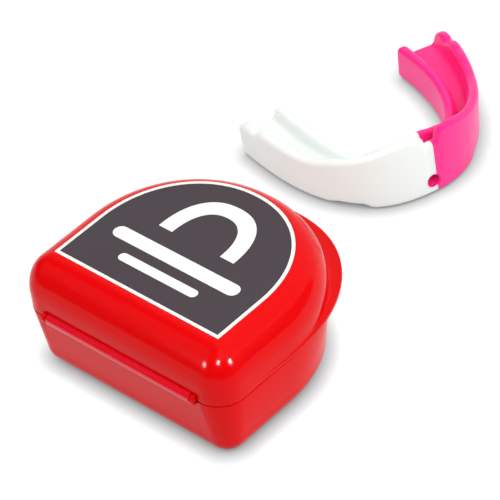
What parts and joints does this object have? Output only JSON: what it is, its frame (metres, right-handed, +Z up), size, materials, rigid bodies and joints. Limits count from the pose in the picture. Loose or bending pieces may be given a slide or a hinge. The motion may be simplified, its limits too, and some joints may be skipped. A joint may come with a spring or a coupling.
{
  "type": "mouthguard with case",
  "caption": "Two-tone boil-and-bite mouthguard beside its hinged, D-shaped storage case with a thumb lip and a printed lid label.",
  "frame": {"origin": "centre of the case's flat underside", "axes": "+Z up, +X along the hinge, +Y from the hinge towards the case's rounded opening end"},
  "size_m": [0.0913, 0.1826, 0.0392],
  "materials": {
    "case_red": "glossy injection-moulded plastic",
    "hinge_pin": "satin plastic rod",
    "label_print": "satin printed vinyl film",
    "guard_white": "smooth semi-gloss EVA",
    "guard_pink": "smooth semi-gloss EVA"
  },
  "bodies": {
    "base": {"case_base": "case_red", "hinge_pin": "hinge_pin"},
    "lid": {"case_lid": "case_red", "lid_label": "label_print"},
    "guard": {"guard_white_half": "guard_white", "guard_pink_half": "guard_pink"}
  },
  "joints": [
    {"name": "lid_hinge", "type": "hinge", "parent": "base", "child": "lid", "pos_m": [0, -0.0349, 0.0217], "axis": [1, 0, 0], "range_deg": [0, 165]},
    {"name": "guard_lift", "type": "slide", "parent": "base", "child": "guard", "axis": [0, 0, 1], "range_m": [0, 0.08]}
  ]
}
